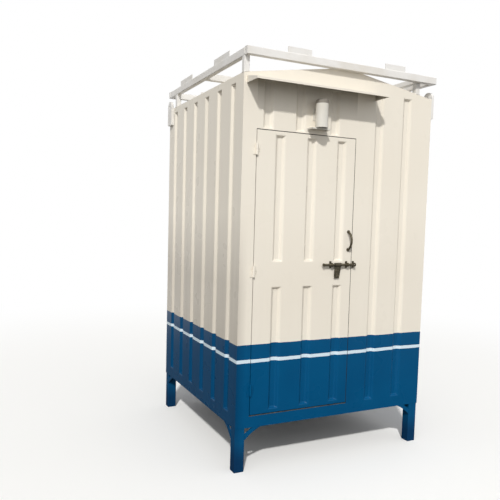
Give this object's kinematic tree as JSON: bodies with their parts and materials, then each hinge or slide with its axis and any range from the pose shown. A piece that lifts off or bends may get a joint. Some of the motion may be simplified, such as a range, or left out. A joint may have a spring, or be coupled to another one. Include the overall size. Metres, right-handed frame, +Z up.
{
  "type": "toilet container",
  "caption": "Steel toilet cabin of grooved sheet on short legs, with a hinged and bolted front door, a lamp, a hood over the door and a rooftop frame for a water tank.",
  "frame": {"origin": "middle of the overall box, on the ground", "axes": "+X to the right along the front as one faces the door, +Y to the rear, +Z up; the door is in the -Y side"},
  "size_m": [1.564, 1.651, 2.753],
  "materials": {
    "cream_enamel": "gloss",
    "blue_enamel": "gloss",
    "frame_white": "satin",
    "lamp_white": "satin",
    "floor_steel": "worn",
    "dark_metal": "satin"
  },
  "bodies": {
    "cabin": {"post_front_left": "cream_enamel", "post_front_right": "cream_enamel", "post_rear_left": "cream_enamel", "post_rear_right": "cream_enamel", "bottom_rail_front": "blue_enamel", "bottom_rail_rear": "blue_enamel", "bottom_rail_left": "blue_enamel", "bottom_rail_right": "blue_enamel", "top_rails": "cream_enamel", "floor_joists": "blue_enamel", "floor_plate": "floor_steel", "leg_braces": "blue_enamel", "left_wall": "cream_enamel", "right_wall": "cream_enamel", "rear_wall": "cream_enamel", "front_strip": "cream_enamel", "front_panel": "cream_enamel", "front_header": "cream_enamel", "front_gable": "cream_enamel", "rear_gable": "cream_enamel", "roof_left": "cream_enamel", "roof_right": "cream_enamel", "ridge_tube": "cream_enamel", "door_frame": "cream_enamel", "hood": "cream_enamel", "lamp_bracket": "lamp_white", "lamp_barrel": "lamp_white", "lamp_collar": "lamp_white", "tank_end_tubes": "frame_white", "tank_side_tubes": "frame_white", "tank_cross_tube": "frame_white", "tank_bearers": "frame_white", "tank_posts": "frame_white", "tank_cleats": "frame_white", "lifting_lugs": "frame_white", "hinges_frame_half": "cream_enamel", "bolt_keeper": "dark_metal"},
    "door": {"door_leaf_frame": "cream_enamel", "door_skin": "cream_enamel", "hinges_door_half": "cream_enamel", "pull_handle": "dark_metal", "bolt_loops": "dark_metal"},
    "bolt": {"bolt_bar": "dark_metal"},
    "hasp": {"hasp": "dark_metal"}
  },
  "joints": [
    {"name": "door_hinge", "type": "hinge", "parent": "cabin", "child": "door", "pos_m": [-0.6615, -0.689, 1.3], "axis": [0, 0, -1], "range_deg": [0, 110]},
    {"name": "bolt_slide", "type": "slide", "parent": "door", "child": "bolt", "axis": [1, 0, 0], "range_m": [0, 0.045]},
    {"name": "hasp_turn", "type": "hinge", "parent": "bolt", "child": "hasp", "pos_m": [-0.021, -0.7005, 1.359], "axis": [-1, 0, 0], "range_deg": [0, 150]}
  ]
}
